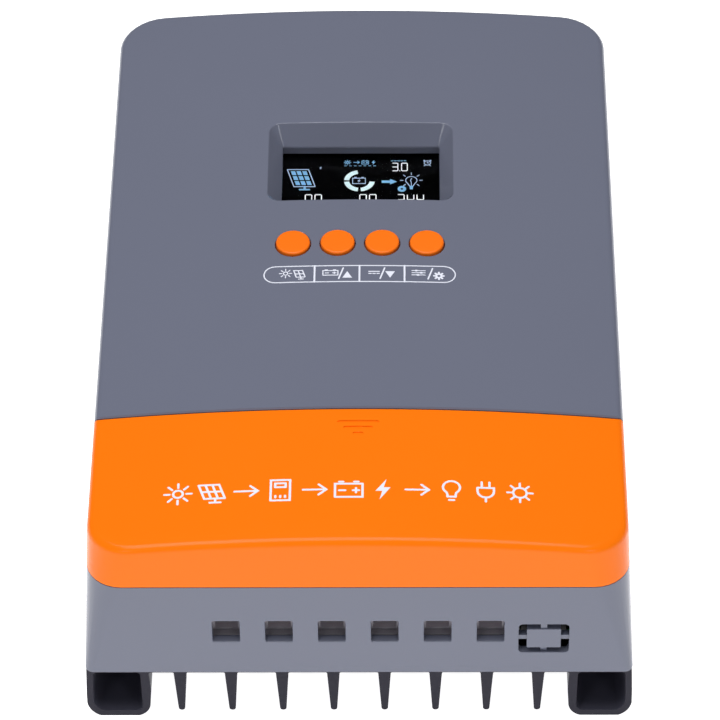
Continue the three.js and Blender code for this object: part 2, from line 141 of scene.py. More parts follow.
# Parts under the cover and on the board.
SCREW_Y = -128.1
SCREW_FOOT = 52.9
SCREW_HEAD = (66.2, 69.9)
SCREW_HEAD_R = 4.0
THREAD_R = (2.1, 2.5)
INDUCTOR_X = (-30, 30)
INDUCTOR_Y = -40.0
CORE_Z, CORE_R = 49.9, 15.2
CORE_HALF = (8.0, 4.1)
WIRE_R = 0.75
WIRE_TURNS = 26
CAPACITOR_X = -66
CAPACITOR_Y = (20, 42, 64)

# Display and printing.
LCD_TOP = 77.4
INK_LIFT = 0.06
INK_DEPTH = 0.1
INK_STEP = 4.0

button_x = [(i - 1.5) * BUTTON_PITCH for i in range(4)]
pole_x = [(i - 2.5) * POLE_PITCH for i in range(POLES)]


def crown(x):
    """Height of the arched front face."""
    return Z_FACE + CROWN * (1 - (x / CROWN_HALF) ** 2)


def end_wall_y(z):
    """Where the cable end's leaning wall is at a height."""
    return -(BASE_HALF_Y - DRAFT * (z - Z_SKIRT))


# ---------- materials
class Shader:
    """A Principled material with short ways to add procedural detail in object space."""

    def __init__(self, name, color, roughness, metallic=0.0, specular=0.5):
        self.material = bpy.data.materials.new(name)
        self.material.use_nodes = True
        self.material.diffuse_color = (*color, 1)
        self.nodes = self.material.node_tree.nodes
        self.links = self.material.node_tree.links
        self.base = self.nodes["Principled BSDF"]
        self.color = color
        self.base.inputs["Base Color"].default_value = (*color, 1)
        self.base.inputs["Roughness"].default_value = roughness
        self.base.inputs["Metallic"].default_value = metallic
        self.base.inputs["Specular IOR Level"].default_value = specular

    def noise(self, scale, detail=2.0, stretch=(1, 1, 1)):
        """A noise over the object; scale is in cycles per metre."""
        place = self.nodes.new("ShaderNodeTexCoord")
        mapping = self.nodes.new("ShaderNodeMapping")
        mapping.inputs["Scale"].default_value = stretch
        texture = self.nodes.new("ShaderNodeTexNoise")
        texture.inputs["Scale"].default_value = scale
        texture.inputs["Detail"].default_value = detail
        self.links.new(place.outputs["Object"], mapping.inputs["Vector"])
        self.links.new(mapping.outputs["Vector"], texture.inputs["Vector"])
        return texture.outputs["Fac"]

    def spread(self, value, low, high):
        """Maps the middle of a noise onto low to high."""
        node = self.nodes.new("ShaderNodeMapRange")
        node.inputs["From Min"].default_value = 0.2
        node.inputs["From Max"].default_value = 0.8
        node.inputs["To Min"].default_value = low
        node.inputs["To Max"].default_value = high
        self.links.new(value, node.inputs["Value"])
        return node.outputs["Result"]

    def tint(self, value, shade):
        """Varies the base colour between itself and a shaded one."""
        other = tuple(c * shade for c in self.color)
        mix = self.nodes.new("ShaderNodeMix")
        mix.data_type = "RGBA"
        mix.inputs["A"].default_value = (*other, 1)
        mix.inputs["B"].default_value = (*self.color, 1)
        self.links.new(self.spread(value, 0, 1), mix.inputs["Factor"])
        self.links.new(mix.outputs["Result"], self.base.inputs["Base Color"])
        return self

    def rough(self, value, low, high):
        """Varies the roughness."""
        self.links.new(self.spread(value, low, high), self.base.inputs["Roughness"])
        return self

    def bump(self, value, depth_mm):
        """Raises a fine relief of a depth in mm."""
        node = self.nodes.new("ShaderNodeBump")
        node.inputs["Distance"].default_value = depth_mm * MM
        self.links.new(value, node.inputs["Height"])
        self.links.new(node.outputs["Normal"], self.base.inputs["Normal"])
        return self


def moulded(name, color, roughness, grain=1500, depth=0.02, shade=0.93, specular=0.4):
    """Plastic from a spark-eroded mould: fine grain, faint cloudiness in colour and gloss."""
    shader = Shader(name, color, roughness, specular=specular)
    shader.tint(shader.noise(26, 3), shade)
    shader.rough(shader.noise(60, 3), roughness - 0.02, roughness + 0.02)
    return shader.bump(shader.noise(grain, 3), depth).material


def drawn_metal(
    name, color, roughness, along=(1, 0.01, 1), scale=900, shade=0.8, metallic=1.0, specular=0.5
):
    """Metal with fine lines along one axis, or an even grain."""
    shader = Shader(name, color, roughness, metallic=metallic, specular=specular)
    lines = shader.noise(scale, 2, along)
    shader.tint(shader.noise(40, 3), shade)
    shader.rough(lines, roughness - 0.08, roughness + 0.1)
    return shader.bump(lines, 0.01).material


def glowing(name, color, strength):
    """A lit display segment, a little uneven as a backlight is."""
    shader = Shader(name, color, 0.4, specular=0.1)
    shader.tint(shader.noise(300), 0.9)
    tinted = shader.base.inputs["Base Color"].links[0].from_socket
    shader.links.new(tinted, shader.base.inputs["Emission Color"])
    shader.base.inputs["Emission Strength"].default_value = strength
    return shader.material


def srgb(r, g, b):
    """Linear colour from 8-bit display values."""
    return tuple((c / 255 / 12.92) if c < 11 else ((c / 255 + 0.055) / 1.055) ** 2.4 for c in (r, g, b))


GREY = moulded("grey_plastic", srgb(109, 113, 130), 0.14, depth=0.0012, shade=0.985, specular=0.38)
ORANGE = moulded("orange_plastic", srgb(255, 121, 12), 0.24, depth=0.003, shade=0.985, specular=0.14)
ORANGE_CAP = moulded(
    "orange_cap", srgb(255, 118, 14), 0.38, grain=2500, depth=0.006, shade=0.98, specular=0.25
)
BLACK = moulded("black_plastic", srgb(24, 24, 27), 0.5, depth=0.03)
WHITE = moulded("white_plastic", srgb(222, 222, 214), 0.45)
INK = moulded("white_ink", srgb(232, 235, 248), 0.5, grain=4000, depth=0.004, shade=0.97)
BOARD = moulded("solder_mask", srgb(18, 84, 44), 0.3, grain=700, depth=0.02, shade=0.75)
SLEEVE = moulded("shrink_sleeve", srgb(24, 26, 44), 0.28, grain=500, depth=0.02)
FERRITE = moulded("powder_core", srgb(64, 66, 60), 0.7, grain=900, depth=0.08, shade=0.8)
PAD = moulded("thermal_pad", srgb(150, 158, 168), 0.85, grain=1200, depth=0.03)
CABLE = moulded("flat_cable", srgb(168, 172, 176), 0.5, grain=800, depth=0.02)
# The terminal block's plastic is far lighter than a real block: painted light that stands in for the light
# seen through the cable slots.
BLOCK_PAINTED_LIGHT = moulded("block_plastic_painted_light", srgb(160, 157, 165), 0.5, depth=0.03)
# Two copies of the heatsink's black anodising. The body's copy is lightened well past black: painted light
# that stands in for light in the hollow rails and between the fins. The darker copy goes on the cut ends.
ANODISED_PAINTED_LIGHT = drawn_metal("black_anodised", srgb(77, 77, 91), 0.45, metallic=0.0, shade=0.9, specular=0.3)
ANODISED_DARKER_ENDS = drawn_metal(
    "anodised_ends_darker_copy", srgb(44, 43, 54), 0.6, (1, 1, 1), 700, metallic=0.0, shade=0.9, specular=0.15
)
STEEL = drawn_metal("zinc_steel", (0.55, 0.56, 0.58), 0.3, (1, 1, 1), 300)
NICKEL = drawn_metal("dull_nickel", srgb(214, 209, 219), 0.6, (1, 1, 1), 300, metallic=0.15)
COPPER = drawn_metal("tinned_copper", (0.7, 0.42, 0.26), 0.35, (0.02, 1, 1), 500)
LIT = {
    "blue": glowing("lit_blue", srgb(122, 174, 212), 0.22),
    "pale": glowing("lit_pale", srgb(158, 178, 206), 0.5),
    "white": glowing("lit_white", srgb(236, 238, 240), 0.3),
    "mint": glowing("lit_mint", srgb(216, 238, 240), 0.12),
}


# ---------- mesh making
CDT_EPSILON = 1e-5
FACE_STEP = 9.0
# With this pull, a cubic curve follows a quarter circle.
ARC_PULL = 0.5523


def make(name, points, faces, material=None, body=None):
    """An object from points in mm. It rides on a body unless it is only a tool for a boolean."""
    mesh = bpy.data.meshes.new(name)
    mesh.from_pydata([Vector(p) * MM for p in points], [], faces)
    mesh.update()
    thing = bpy.data.objects.new(name, mesh)
    scene.collection.objects.link(thing)
    return dress(thing, material, body) if body else thing


def paint(mesh, material):
    """Makes a material the only one of a mesh."""
    mesh.materials.clear()
    mesh.materials.append(material)


def dress(thing, material, body, replaced=None, sharp=32):
    """Gives a finished mesh its material and smooth shading, and puts it on its body."""
    mesh = thing.data
    paint(mesh, material)
    mesh.shade_smooth()
    mesh.set_sharp_from_angle(angle=math.radians(sharp))
    normals = thing.modifiers.new("weighted_normals", "WEIGHTED_NORMAL")
    normals.keep_sharp = True
    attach(thing, body)
    if replaced:
        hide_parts(*replaced)
    return thing


def combine(target, tools, operation):
    """Applies one boolean after another and removes the tools."""
    for tool in tools:
        modifier = target.modifiers.new("combine", "BOOLEAN")
        modifier.operation = operation
        modifier.solver = "MANIFOLD"
        modifier.object = tool
    bpy.context.view_layer.update()
    graph = bpy.context.evaluated_depsgraph_get()
    result = bpy.data.meshes.new_from_object(target.evaluated_get(graph))
    target.modifiers.clear()
    target.data = result
    for tool in tools:
        bpy.data.objects.remove(tool)
    return target


def round_corner(before, corner, after, setback, steps):
    """Points that replace a corner between two straight runs with a tangent curve."""
    start = corner + (before - corner).normalized() * setback
    end = corner + (after - corner).normalized() * setback
    first, second = start.lerp(corner, ARC_PULL), end.lerp(corner, ARC_PULL)
    points = []
    for k in range(steps + 1):
        t = k / steps
        s = 1 - t
        points.append(start * s**3 + first * (3 * s * s * t) + second * (3 * s * t * t) + end * t**3)
    return points


def rounded_rings(rings, setbacks, steps):
    """Rings of equal length, from one cap to the other, with the corners between them rounded."""
    count = len(rings[0])
    lines = []
    for i in range(count):
        line = []
        for k, ring in enumerate(rings):
            if setbacks[k]:
                line += round_corner(rings[k - 1][i], ring[i], rings[k + 1][i], setbacks[k], steps)
            else:
                line.append(ring[i])
        lines.append(line)
    return [[line[k] for line in lines] for k in range(len(lines[0]))]


def inside_loops(x, y, loops):
    """Even-odd test of a point against closed loops."""
    inside = False
    for loop in loops:
        for a, b in zip(loop, loop[1:] + loop[:1]):
            if (a[1] > y) != (b[1] > y) and x < a[0] + (b[0] - a[0]) * (y - a[1]) / (b[1] - a[1]):
                inside = not inside
    return inside


def grid_inside(flat):
    """Points evenly spread over the box round some others."""
    xs, ys = [p.x for p in flat], [p.y for p in flat]
    width, depth = max(xs) - min(xs), max(ys) - min(ys)
    nx = max(1, int(width / FACE_STEP))
    ny = max(1, int(depth / (FACE_STEP * 2)))
    cells = [(i, j) for i in range(1, nx) for j in range(1, ny)]
    return [Vector((min(xs) + width * i / nx, min(ys) + depth * j / ny)) for i, j in cells]


def fill(loops, height=None):
    """Triangles between closed loops. With a height function, extra points carry the surface between."""
    flat = [Vector((p[0], p[1])) for loop in loops for p in loop]
    edges = []
    start = 0
    for loop in loops:
        n = len(loop)
        edges += [(start + i, start + (i + 1) % n) for i in range(n)]
        start += n
    known = len(flat)
    if height:
        flat += grid_inside(flat)
    made = delaunay_2d_cdt(flat, edges, [], 0, CDT_EPSILON, True)
    sources = [p for loop in loops for p in loop]
    points = []
    for place, origin in zip(made[0], made[3]):
        ring_points = [o for o in origin if o < known]
        if ring_points:
            points.append(Vector(sources[ring_points[0]]))
        else:
            points.append(Vector((place.x, place.y, height(place.x) if height else 0)))
    faces = []
    for face in made[2]:
        middle = sum((made[0][i] for i in face), Vector((0, 0))) / len(face)
        if inside_loops(middle.x, middle.y, loops):
            faces.append(tuple(face))
    return points, faces


def place_key(point):
    """Equal for two copies of one point."""
    return tuple(round(c, 6) for c in point)


def solid(name, rings, top=None):
    """A closed body through rings, bottom to top. A height function for top makes a curved cap."""
    count = len(rings[0])
    points = [p for ring in rings for p in ring]
    faces = []
    for k in range(len(rings) - 1):
        for i in range(count):
            a, b = k * count + i, k * count + (i + 1) % count
            faces.append((a, b, b + count, a + count))
    faces.append(tuple(range(count))[::-1])
    last = (len(rings) - 1) * count
    if top is None:
        faces.append(tuple(range(last, last + count)))
        return make(name, points, faces)
    cap_points, cap_faces = fill([rings[-1]], top)
    lookup = {place_key(p): last + i for i, p in enumerate(rings[-1])}
    index = []
    for p in cap_points:
        key = place_key(p)
        if key not in lookup:
            lookup[key] = len(points)
            points.append(p)
        index.append(lookup[key])
    faces += [tuple(index[i] for i in face) for face in cap_faces]
    return make(name, points, faces)


def rounded_rect(half_u, half_v, radius, centre, corner_steps=5, split=1):
    """A counter-clockwise rounded rectangle as (u, v) pairs; split cuts its level sides."""
    ring = []
    for sx, sy, start in ((1, -1, -90), (1, 1, 0), (-1, 1, 90), (-1, -1, 180)):
        for k in range(corner_steps + 1):
            angle = math.radians(start + 90 * k / corner_steps)
            u = sx * (half_u - radius) + radius * math.cos(angle)
            v = sy * (half_v - radius) + radius * math.sin(angle)
            ring.append((centre[0] + u, centre[1] + v))
        if sx == sy:
            for k in range(1, split):
                reach = (half_u - radius) * (1 - 2 * k / split)
                ring.append((centre[0] + sx * reach, centre[1] + sy * half_v))
    return ring


def block(name, xs, ys, zs, edge=0.0):
    """A box given by its limits, with all of its upright and level edges softened when edge is set."""
    if not edge:
        ring = [(xs[0], ys[0]), (xs[1], ys[0]), (xs[1], ys[1]), (xs[0], ys[1])]
        return solid(name, [[Vector((*p, z)) for p in ring] for z in zs])
    centre = ((xs[0] + xs[1]) / 2, (ys[0] + ys[1]) / 2)
    half = ((xs[1] - xs[0]) / 2, (ys[1] - ys[0]) / 2)
    outer = rounded_rect(*half, edge, centre, 3)
    inner = rounded_rect(half[0] - edge * 1.2, half[1] - edge * 1.2, edge * 0.3, centre, 3)
    levels = [(inner, zs[0]), (outer, zs[0]), (outer, zs[1]), (inner, zs[1])]
    rings = [[Vector((*p, z)) for p in ring] for ring, z in levels]
    return solid(name, rounded_rings(rings, [0, edge, edge, 0], 3))


def circle(radius, x, y, sides):
    """A counter-clockwise ring of (x, y) pairs."""
    step = math.tau / sides
    return [(x + radius * math.cos(step * i), y + radius * math.sin(step * i)) for i in range(sides)]


def turned(name, profile, x, y, sides, setbacks=None, steps=4):
    """A solid of revolution from (radius, z) corners, bottom to top, each corner rounded by its setback."""
    rings = [[Vector((*p, z)) for p in circle(r, x, y, sides)] for r, z in profile]
    return solid(name, rounded_rings(rings, setbacks or [0] * len(profile), steps))


# ---------- the housing's outer form
END_SPLIT = 26
FOLD_LEVELS = (60, 90)
FACE_INSET = 7
RIM_INSET = 1.2


def outline(z, inset):
    """The side walls at a height, moved in by an inset."""
    rise = z - Z_SKIRT
    radius = max(0.6, CORNER_BASE + CORNER_GROWTH * rise - inset)
    side = DRAFT * rise + inset
    return rounded_rect(BASE_HALF_X - side, BASE_HALF_Y - side, radius, (0, 0), 8, END_SPLIT)


def fold_ring(inset, drop):
    """Where the side walls meet the arched face, lowered by a drop."""
    low_z, high_z = FOLD_LEVELS
    low, high = outline(low_z, inset), outline(high_z, inset)
    ring = []
    for (x0, y0), (x1, y1) in zip(low, high):
        z = Z_FACE
        for _ in range(6):
            z = crown(x0 + (x1 - x0) * (z - low_z) / (high_z - low_z)) - drop
        t = (z - low_z) / (high_z - low_z)
        ring.append(Vector((x0 + (x1 - x0) * t, y0 + (y1 - y0) * t, z)))
    return ring


def form(name, inset=0.0, base=Z_SKIRT, fold=FOLD, rim=RIM):
    """The tapered housing body, inset and lowered by a wall's thickness for its inside."""
    face = [Vector((x, y, crown(x) - inset)) for x, y in outline(Z_FACE + 2, inset + FACE_INSET)]
    rings = [
        [Vector((*p, base)) for p in outline(base, inset + RIM_INSET)],
        [Vector((*p, base)) for p in outline(base, inset)],
        fold_ring(inset, inset),
        face,
    ]
    rings = rounded_rings(rings, [0, rim, fold, 0], 6)
    return solid(name, rings, lambda x: crown(x) - inset)


# A cutter's mouth widens by this many setbacks, and its rim is this far above the surface that it cuts.
MOUTH_SPREAD = 1.5
MOUTH_LIFT = 0.03
CLEAR = 1.0


def face_cutter(name, ring, depth, setback, floor=None):
    """Cuts a hole with a rounded mouth in the arched face, down to a depth or to a stepped floor.

    floor, if given, is (ledge height, ring, bottom height).
    """
    centre = Vector((sum(p[0] for p in ring) / len(ring), sum(p[1] for p in ring) / len(ring)))
    wide = []
    for p in ring:
        out = Vector(p) - centre
        wide.append(Vector(p) + out.normalized() * (setback * MOUTH_SPREAD))
    rings = [
        [Vector((*p, crown(p[0]) - depth)) for p in ring],
        [Vector((p[0], p[1], crown(p[0]))) for p in ring],
        [Vector((p[0], p[1], crown(p[0]) + MOUTH_LIFT)) for p in wide],
        [Vector((p[0], p[1], crown(p[0]) + CLEAR)) for p in wide],
    ]
    setbacks = [0, setback, 0, 0]
    if floor:
        ledge, floor_ring, bottom = floor
        rings[:1] = [[Vector((*p, z)) for p in floor_ring] for z in (bottom, ledge)]
        setbacks = [0, RIM, setback, 0, 0]
    return solid(name, rounded_rings(rings, setbacks, 5))


def wall_cutter(name, ring, depth, setback=0.0):
    """Cuts a hole in the cable end's wall from a ring of (x, z); a setback rounds its mouth."""
    cx, cz = sum(p[0] for p in ring) / len(ring), sum(p[1] for p in ring) / len(ring)

    def at(points, d):
        return [Vector((x, end_wall_y(z) + d, z)) for x, z in points][::-1]

    rings, setbacks = [at(ring, depth)], [0, 0]
    if setback:
        wide = []
        for x, z in ring:
            out = Vector((x - cx, z - cz)).normalized() * (setback * MOUTH_SPREAD)
            wide.append((x + out.x, z + out.y))
        rings += [at(ring, 0), at(wide, -MOUTH_LIFT)]
        setbacks = [0, setback, 0, 0]
        ring = wide
    rings.append(at(ring, -CLEAR))
    return solid(name, rounded_rings(rings, setbacks, 4)[::-1])


# ---------- housing
def recess_cutter():
    """The display recess: sloping walls down to a ledge, then a straight well."""
    mouth = rounded_rect(*RECESS_MOUTH, (0, RECESS_Y), 10, 10)
    floor = rounded_rect(*RECESS_FLOOR, (0, RECESS_Y), 10, 10)
    return face_cutter("cut", mouth, 0, 0.4, (RECESS_LEDGE_Z, floor, RECESS_BOTTOM_Z))


def recess_skin():
    """The wall round the display recess, inside the housing."""
    levels = [(rounded_rect(*size, (0, RECESS_Y)), z) for *size, z in RECESS_SKIN]
    return solid("recess_skin", [[Vector((*p, z)) for p in ring] for ring, z in levels])


def terminal_bay():
    """Deck and partition under the sliding cover."""
    across = (-BAY_HALF_X, BAY_HALF_X)
    deck = block("deck", across, (BAY_END_Y, PARTITION_Y[1]), DECK)
    partition = block("partition", across, PARTITION_Y, (PARTITION_FOOT, 96))
    inner = combine(deck, [partition], "UNION")
    return combine(inner, [form("limit", WALL / 2, Z_SKIRT + 1)], "INTERSECT")


def cover_lip():
    """A thin lip inside the cover's walls, open at the middle of the cable end."""
    lip = form("lip", COVER_WALL + 0.5, Z_SKIRT + 2, INNER_FOLD, 0.2)
    combine(lip, [form("lip_inside", COVER_WALL + 1.9, Z_SKIRT, INNER_FOLD, 0.2)], "DIFFERENCE")
    combine(lip, [block("lip_span", (-96, 96), (-142, -73.4), (DECK[0] + 1, LIP_TOP))], "INTERSECT")
    return combine(lip, [block("lip_gap", *LIP_GAP, (60, 80))], "DIFFERENCE")


def breakout_cutter():
    """The gap round the data port's breakout plate, bridged by four thin webs."""
    gap = wall_cutter("gap", rounded_rect(*PORT_GAP, (PORT_X, PORT_Z)), 5)
    plate = wall_cutter("plate", rounded_rect(*PORT_PLATE, (PORT_X, PORT_Z)), 6)
    plate.scale = (1, 1.2, 1)
    plate.location.y = 0.2 * BASE_HALF_Y * MM
    y = end_wall_y(PORT_Z)
    web_y = (y + 0.7, y + 8)
    upright = block("web", (PORT_X - 1.1, PORT_X + 1.1), web_y, (PORT_Z - 9, PORT_Z + 9))
    level = block("web", (PORT_X - 11, PORT_X + 11), web_y, (PORT_Z - 1, PORT_Z + 1))
    return combine(gap, [plate, upright, level], "DIFFERENCE")


def seam_groove():
    """A shallow vee over the gap between the fixed face and the cover, to break both edges."""
    rings = []
    for k in range(49):
        x = -96.0 + 4 * k
        low, high = crown(x) - 0.6, crown(x) + 0.35
        places = (
            (Y_COVER + 0.05, low),
            (Y_SEAM - 0.05, low),
            (Y_SEAM + SEAM_VEE, high),
            (Y_COVER - SEAM_VEE, high),
        )
        rings.append([Vector((x, *place)) for place in places])
    return solid("cut", rings)


def tab_box(x, half, ys, zs, edge=0.0):
    """A box about one of the cover's two tabs."""
    return block("tab", (x - half, x + half), ys, zs, edge)


def housing_openings():
    """Everything that is cut through the housing's walls."""
    holes = [recess_cutter(), breakout_cutter(), seam_groove()]
    for x in button_x:
        holes.append(face_cutter("cut", circle(BUTTON_HOLE_R, x, BUTTON_Y, 48), BUTTON_HOLE_DEPTH, MOUTH))
    for x in pole_x:
        holes.append(wall_cutter("cut", rounded_rect(*SLOT_HALF, (x, SLOT_Z)), SLOT_DEPTH, MOUTH))
    for x in (-TAB_X, TAB_X):
        holes.append(tab_box(x, TAB_HALF + 1, (Y_SEAM - 3, Y_SEAM + 4), (TAB_Z[0] - 0.6, TAB_Z[1] + 0.6)))
    holes.append(block("cut", *DECK_OPENING, (60, 69)))
    return holes + [turned("cut", [(1.8, 20), (1.8, 38)], x, y, 20) for x, y in POST_PLACES]


def housing():
    shell = form("housing_skin")
    combine(shell, [form("inside", WALL, Z_SKIRT - 2, INNER_FOLD)], "DIFFERENCE")
    posts = []
    for x, y in POST_PLACES:
        top = 64 if y < 0 else Z_FACE
        posts.append(turned("boss", [(POST_R, 29.5), (POST_R, top)], x, y, 24))
    combine(shell, [recess_skin(), terminal_bay(), *posts], "UNION")
    combine(shell, [block("away", (-120, 120), (-160, Y_SEAM), (Z_COVER, 99))], "DIFFERENCE")
    combine(shell, [cover_lip()], "UNION")
    combine(shell, housing_openings(), "DIFFERENCE")
    return dress(shell, GREY, "housing", ["housing_shell"])


def cover():
    skin = form("cover_skin")
    combine(skin, [form("inside", COVER_WALL, Z_SKIRT - 2, INNER_FOLD)], "DIFFERENCE")
    combine(skin, [block("span", (-120, 120), (-160, Y_COVER), (Z_COVER_EDGE, 99))], "INTERSECT")
    tabs = []
    for x in (-TAB_X, TAB_X):
        tabs.append(tab_box(x, TAB_HALF, (-79, -69.5), TAB_Z, 0.3))
        tabs.append(tab_box(x, TAB_HALF, (-79, -75.6), (84, 87.2)))
    combine(skin, tabs, "UNION")
    grooves = []
    for y, length in GRIP_LINES:
        ring = rounded_rect(length / 2, 0.6, 0.59, (0, y), 5, 6)
        grooves.append(face_cutter("cut", ring, 0.45, 0.28))
    combine(skin, [*grooves, seam_groove()], "DIFFERENCE")
    return dress(skin, ORANGE, "cover", ["terminal_cover"])


def buttons():
    """Four round caps, each with a collar under the face and a stem."""
    stem, foot = BUTTON_STEM
    collar, low, high = BUTTON_COLLAR
    for name, x in zip(BUTTON_NAMES, button_x):
        top = crown(x) + BUTTON_PROUD
        inner = [(stem, foot), (stem, low), (collar, low), (collar, high)]
        outer = [(BUTTON_R, high), (BUTTON_R, top), (0.5, top)]
        cap = turned(f"{name}_cap", inner + outer, x, BUTTON_Y, 64, [0, 0, 0.2, 0.2, 0, 0.75, 0], 5)
        dress(cap, ORANGE_CAP, name, [name])


# ---------- heatsink
def fin_outline(x):
    """From one fin's right root, round its tip, to its left root."""
    turns = (0.5, 1.0, 1.4)
    fillet = [(FIN_FILLET * (1 - math.sin(a)), PLATE_UNDER - FIN_FILLET * (1 - math.cos(a))) for a in turns]
    root = FIN_ROOT + FIN_FILLET
    points = [(x + root, PLATE_UNDER)]
    points += [(x + FIN_ROOT + out, z) for out, z in fillet]
    for k in range(9):
        angle = math.pi * k / 8
        points.append((x + FIN_TIP * math.cos(angle), FIN_LOW + FIN_TIP - FIN_TIP * math.sin(angle)))
    points += [(x - FIN_ROOT - out, z) for out, z in reversed(fillet)]
    points.append((x - root, PLATE_UNDER))
    return points


def arc_between(start, corner, end, steps=8):
    """Points along a curve that leaves start and reaches end aimed at the corner."""
    s, c, e = Vector(start), Vector(corner), Vector(end)
    points = []
    for k in range(steps + 1):
        t = k / steps
        points.append(tuple(s * (1 - t) ** 2 + c * (2 * t * (1 - t)) + e * t * t))
    return points


def rail_outline(sign):
    """Outside of a hollow rail on one side, from the plate's edge down and round to its inner root."""
    points = [(91.3, 29.2), (91.3, PLATE_STEP), (94.8, PLATE_STEP), (95.1, 25.4), (95.6, 13)]
    points += arc_between((95.7, 6.8), (95, 1.9), (91.2, 0))
    points += arc_between((77.6, 0), (74.2, 1.3), (73.5, 5.4))
    points += [(73, 14), (73.4, 22.6), (73.2, 23), (72.8, PLATE_UNDER)]
    return [(sign * x, z) for x, z in points]


def rail_hollow(sign):
    """Inside of a rail on one side."""
    points = arc_between((76.2, 5.2), (76.5, 3.2), (78.4, 2.8), 5)
    points += arc_between((90, 2.8), (92.9, 4), (93.4, 7.4), 5)
    points += [(93.4, 13), (93, 22.3), (92.1, PLATE_UNDER), (77.4, PLATE_UNDER), (76.4, 22.3)]
    return [(sign * x, z) for x, z in points]


def sink_section():
    """Outer loop and the two hollows of the extrusion, as (x, z) points on z = 0."""
    right = rail_outline(1)
    for k in (3.5, 2.5, 1.5, 0.5):
        right += fin_outline(k * FIN_PITCH)
    section = right + [(-x, z) for x, z in reversed(right)]
    return [[Vector((x, z, 0)) for x, z in loop] for loop in (section, rail_hollow(1), rail_hollow(-1))]


def heatsink():
    flat, caps = fill(sink_section())
    count = len(flat)
    points = [Vector((p.x, y, p.y)) for y in (-SINK_HALF_Y, SINK_HALF_Y) for p in flat]
    faces = [*caps, *[tuple(i + count for i in face[::-1]) for face in caps]]
    sides = {(a, b) for face in caps for a, b in zip(face, face[1:] + face[:1])}
    faces += [(b, a, a + count, b + count) for a, b in sides if (b, a) not in sides]
    sink = make("heatsink_body", points, faces)
    cuts = []
    for x in (-KEYHOLE_X, KEYHOLE_X):
        for y in KEYHOLE_Y:
            ring = keyhole_ring(x, y)
            cuts.append(solid("cut", [[Vector((*p, z)) for p in ring] for z in (-1, 4.5)]))
    cuts += [turned("cut", [(1.9, 20), (1.9, 32)], x, y, 20) for x, y in POST_PLACES]
    for ys in ((-140, -PLATE_HALF_Y), (PLATE_HALF_Y, 140)):
        cuts.append(block("cut", (-93, 93), ys, (PLATE_STEP, 31)))
    combine(sink, cuts, "DIFFERENCE")
    dress(sink, ANODISED_PAINTED_LIGHT, "housing", ["heatsink"])
    # The cut ends take the darker copy; the lighter base on the rest of the extrusion is painted light.
    sink.data.materials.append(ANODISED_DARKER_ENDS)
    for face in sink.data.polygons:
        if abs(face.normal.y) > 0.9 and abs(face.center.y) > (PLATE_HALF_Y - 1) * MM:
            face.material_index = 1


def keyhole_ring(x, y):
    """A round hole that a screw head passes, with a narrow slot towards the far end."""
    start = math.acos(KEYHOLE_SMALL / KEYHOLE_BIG)
    ring = []
    for k in range(25):
        angle = math.pi - start + (math.pi + 2 * start) * k / 24
        ring.append((x + KEYHOLE_BIG * math.cos(angle), y + KEYHOLE_BIG * math.sin(angle)))
    for k in range(11):
        angle = math.pi * k / 10
        rise = KEYHOLE_REACH + KEYHOLE_SMALL * math.sin(angle)
        ring.append((x + KEYHOLE_SMALL * math.cos(angle), y + rise))
    return ring


# ---------- parts under the cover and on the board
def terminal_screw(i, x):
    """A pan head with a cross recess on a threaded shank."""
    root, crest = THREAD_R
    under, top = SCREW_HEAD
    shank = [(1.8, SCREW_FOOT)]
    for k in range(12):
        z = SCREW_FOOT + 0.5 + k
        shank += [(root, z), (crest, z + 0.5)]
    head = [(root, under), (SCREW_HEAD_R, under), (SCREW_HEAD_R, top), (0.4, top)]
    setbacks = [0] * len(shank) + [0, 0.2, 1.1, 0]
    screw = turned(f"terminal_screw_{i}_fine", shank + head, x, SCREW_Y, 32, setbacks)
    cuts = []
    for half_x, half_y in ((2.5, 0.55), (0.55, 2.5)):
        low = rounded_rect(half_x - 0.15, half_y - 0.15, 0.1, (x, SCREW_Y), 1)
        high = rounded_rect(half_x + 0.1, half_y + 0.1, 0.1, (x, SCREW_Y), 1)
        levels = ((low, top - 1.8), (high, top + 0.6))
        cuts.append(solid("cut", [[Vector((*p, z)) for p in ring] for ring, z in levels]))
    combine(screw, cuts, "DIFFERENCE")
    dress(screw, STEEL, f"screw_{i}", [f"terminal_screw_{i}"])


def looped(name, rings):
    """A ring-shaped body through rings that come back to the first one."""
    count = len(rings[0])
    total = len(rings) * count
    faces = []
    for k in range(len(rings)):
        for i in range(count):
            a, b = k * count + i, k * count + (i + 1) % count
            faces.append((a, b, (b + count) % total, (a + count) % total))
    return make(name, [p for ring in rings for p in ring], faces)


def inductor(i, x):
    """A powder core with one layer of copper wire wound through it."""

    def at(z, r, angle):
        return Vector((x + r * math.cos(angle), INDUCTOR_Y + r * math.sin(angle), z))

    section = rounded_rect(*CORE_HALF, 1.2, (CORE_Z, CORE_R), 3)
    core = [[at(z, r, math.tau * k / 48) for z, r in section] for k in range(48)]
    dress(looped(f"inductor_{i}_core", core), FERRITE, "housing", [f"inductor_{i}"])
    lift = WIRE_R + 0.1
    turn = rounded_rect(CORE_HALF[0] + lift, CORE_HALF[1] + lift, 1.6, (CORE_Z, CORE_R), 2)
    count = WIRE_TURNS * len(turn)
    path = [at(*turn[k % len(turn)], math.tau * k / count) for k in range(count)]
    rings = []
    for k, p in enumerate(path):
        angle = math.tau * k / count
        along = (path[(k + 1) % count] - path[k - 1]).normalized()
        around = Vector((-math.sin(angle), math.cos(angle), 0))
        side = (around - along * around.dot(along)).normalized()
        up = along.cross(side)
        rings.append([p + (side * u + up * v) for u, v in circle(WIRE_R, 0, 0, 8)])
    dress(looped(f"inductor_{i}_winding", rings), COPPER, "housing", sharp=60)


